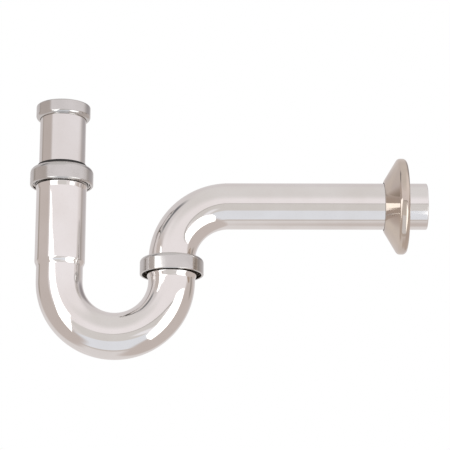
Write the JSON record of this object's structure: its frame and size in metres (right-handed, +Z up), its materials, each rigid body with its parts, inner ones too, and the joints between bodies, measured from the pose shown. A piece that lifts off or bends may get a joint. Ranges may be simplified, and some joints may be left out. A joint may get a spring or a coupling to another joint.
{
  "type": "p trap",
  "caption": "Chromed tubular P-trap for a wash basin: U-bend with slip nuts, telescopic threaded inlet, bent wall tube and sliding cone escutcheon.",
  "frame": {"origin": "where the axis of the wall tube meets the wall plane, at the back face of the escutcheon", "axes": "+X along the wall tube into the wall, +Z up along the two upright legs, the trap lies in the plane Y = 0"},
  "size_m": [0.2749, 0.0664, 0.1805],
  "materials": {
    "polished_chrome": "bright polished chrome plate on brass tube",
    "turned_chrome": "chrome plate over fine turning lines",
    "thread_brass": "tarnished machined brass",
    "black_rubber": "matte moulded rubber",
    "white_nylon": "matte moulded nylon"
  },
  "bodies": {
    "wall_pipe": {"wall_tube": "polished_chrome"},
    "trap": {"trap_bend": "polished_chrome", "socket_thread_ring": "thread_brass", "outlet_thread_ring": "thread_brass", "union_gasket": "black_rubber", "inlet_gasket": "black_rubber"},
    "union_ring": {"union_slip_ring": "white_nylon"},
    "union_nut": {"union_nut": "turned_chrome"},
    "inlet_ring": {"inlet_slip_ring": "white_nylon"},
    "inlet_nut": {"inlet_nut": "turned_chrome"},
    "inlet_washer": {"inlet_washer": "black_rubber"},
    "inlet": {"inlet_tube": "polished_chrome", "inlet_collar": "turned_chrome"},
    "escutcheon_ring": {"escutcheon_grip_ring": "black_rubber"},
    "escutcheon": {"escutcheon": "polished_chrome"}
  },
  "joints": [
    {"name": "trap_swivel", "type": "hinge", "parent": "wall_pipe", "child": "trap", "pos_m": [-0.162, 0, -0.0433], "axis": [0, 0, 1], "range_deg": [-130, 130]},
    {"name": "union_nut_lift", "type": "slide", "parent": "trap", "child": "union_ring", "axis": [0, 0, 1], "range_m": [0, 0.005]},
    {"name": "union_nut_turn", "type": "hinge", "parent": "union_ring", "child": "union_nut", "pos_m": [-0.162, 0, -0.0433], "axis": [0, 0, 1], "range_deg": [0, 900]},
    {"name": "inlet_nut_lift", "type": "slide", "parent": "trap", "child": "inlet_ring", "axis": [0, 0, 1], "range_m": [0, 0.005]},
    {"name": "inlet_nut_turn", "type": "hinge", "parent": "inlet_ring", "child": "inlet_nut", "pos_m": [-0.239, 0, 0.0211], "axis": [0, 0, 1], "range_deg": [0, 900]},
    {"name": "inlet_slide", "type": "slide", "parent": "trap", "child": "inlet_washer", "axis": [0, 0, 1], "range_m": [-0.016, 0.025]},
    {"name": "inlet_turn", "type": "hinge", "parent": "inlet_washer", "child": "inlet", "pos_m": [-0.239, 0, 0.0663], "axis": [0, 0, 1], "continuous": true},
    {"name": "escutcheon_slide", "type": "slide", "parent": "wall_pipe", "child": "escutcheon_ring", "axis": [1, 0, 0], "range_m": [-0.1, 0]},
    {"name": "escutcheon_turn", "type": "hinge", "parent": "escutcheon_ring", "child": "escutcheon", "pos_m": [-0.0115, 0, 0], "axis": [1, 0, 0], "continuous": true}
  ],
  "couplings": [
    {"joint": "union_nut_lift", "follows": "union_nut_turn", "m_per_rad": 0.00031831},
    {"joint": "inlet_nut_lift", "follows": "inlet_nut_turn", "m_per_rad": 0.00031831}
  ]
}
